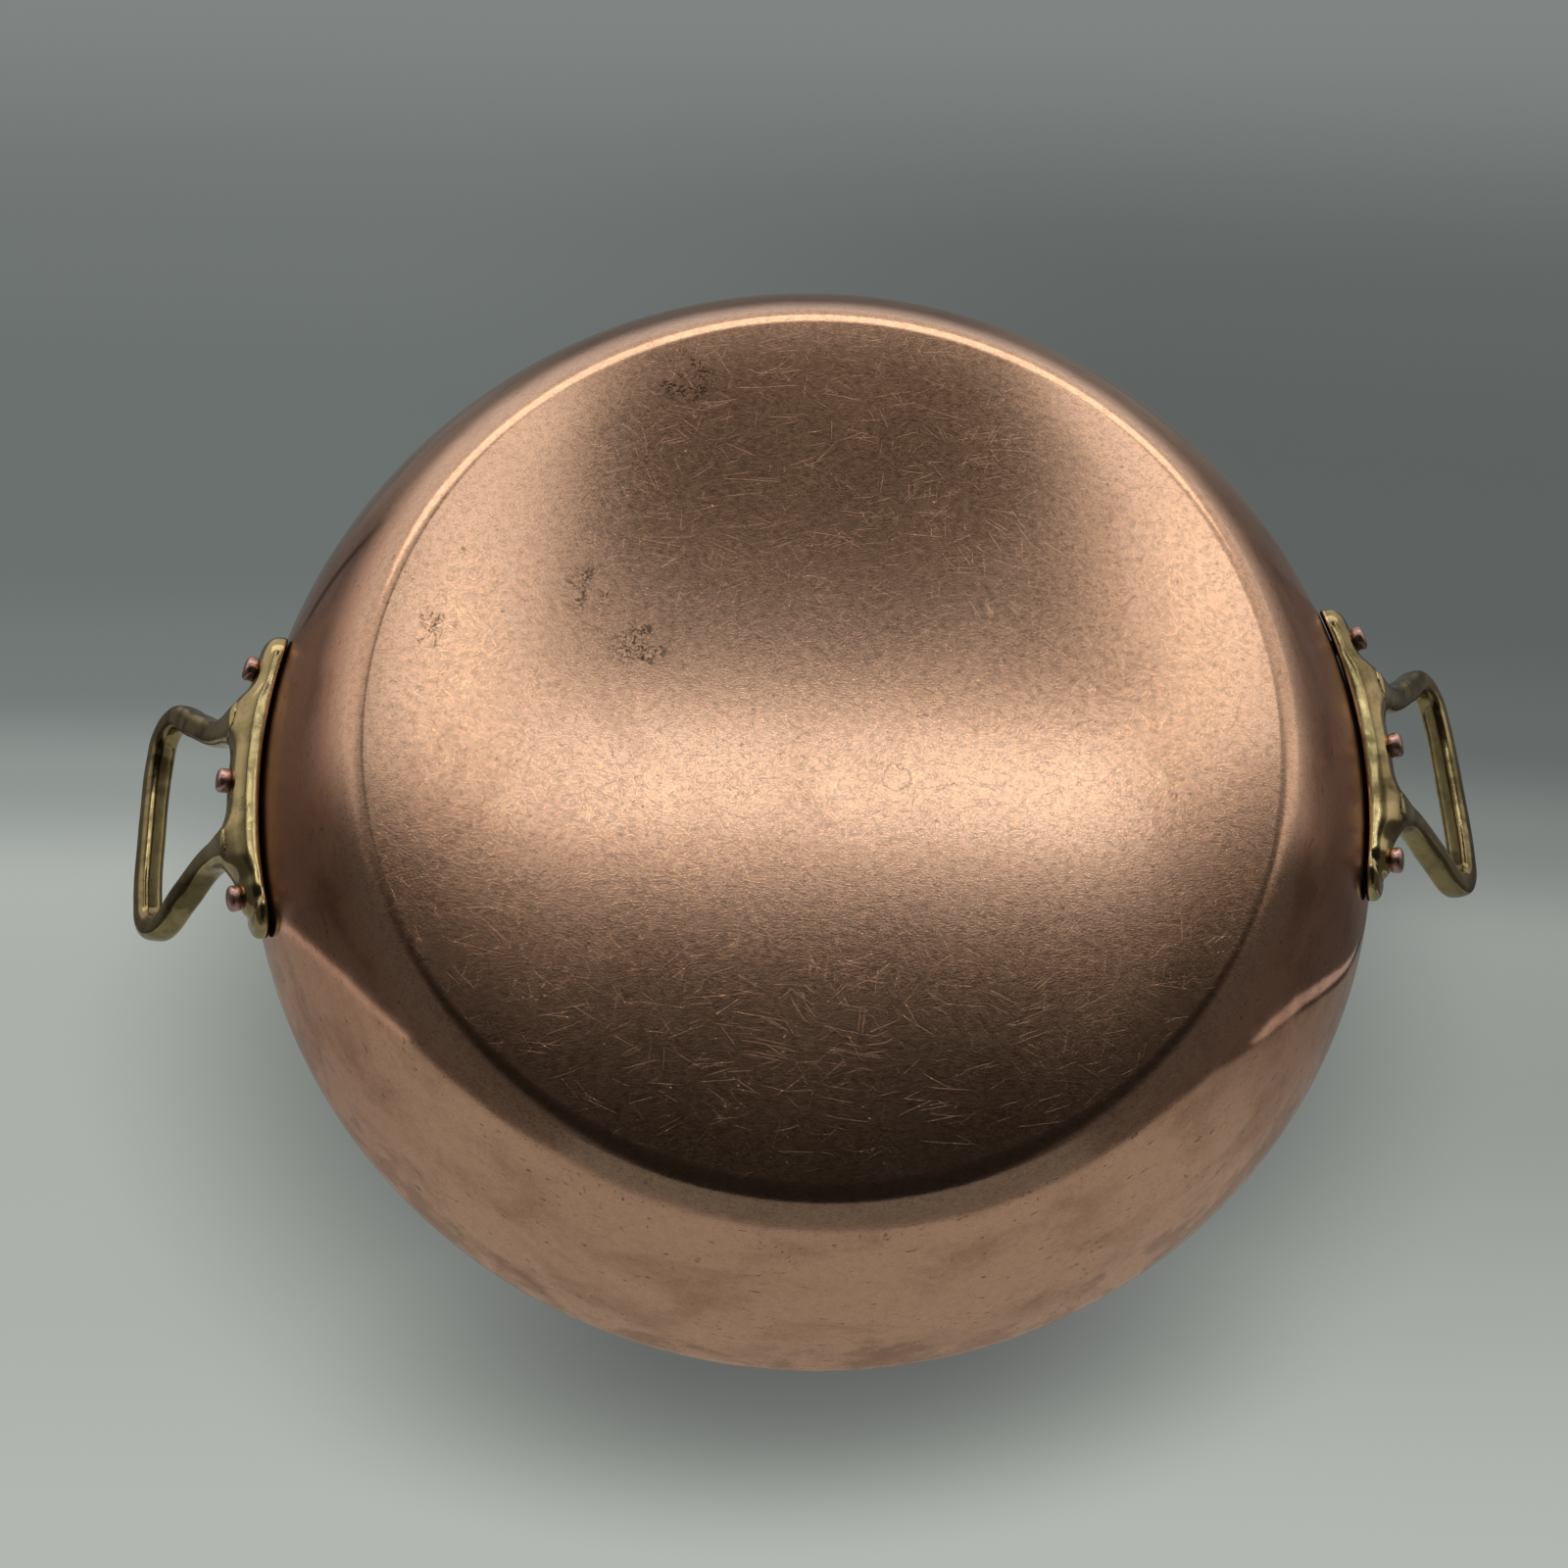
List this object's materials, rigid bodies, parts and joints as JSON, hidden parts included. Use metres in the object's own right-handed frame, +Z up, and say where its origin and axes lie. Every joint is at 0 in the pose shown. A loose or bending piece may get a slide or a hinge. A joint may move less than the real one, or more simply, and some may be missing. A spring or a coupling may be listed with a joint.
{
  "type": "gratin pan",
  "caption": "Round copper gratin pan with flared walls, a tin lining and riveted brass loop handles on opposite sides.",
  "frame": {"origin": "middle of the underside of the base, on the surface that the pan stands on", "axes": "+Z up out of the bowl, +X through the middle of the right-hand handle, +Y across the handles"},
  "size_m": [0.3542, 0.2798, 0.0755],
  "materials": {
    "copper": null,
    "tin": null,
    "brass": "cast brass, filed and dulled",
    "rivet_copper": null
  },
  "bodies": {
    "root": {"copper_body": "copper", "tin_lining": "tin", "handle_right": "brass", "handle_left": "brass", "rivet_right_front": "rivet_copper", "rivet_right_middle": "rivet_copper", "rivet_right_back": "rivet_copper", "rivet_left_front": "rivet_copper", "rivet_left_middle": "rivet_copper", "rivet_left_back": "rivet_copper"}
  },
  "joints": []
}
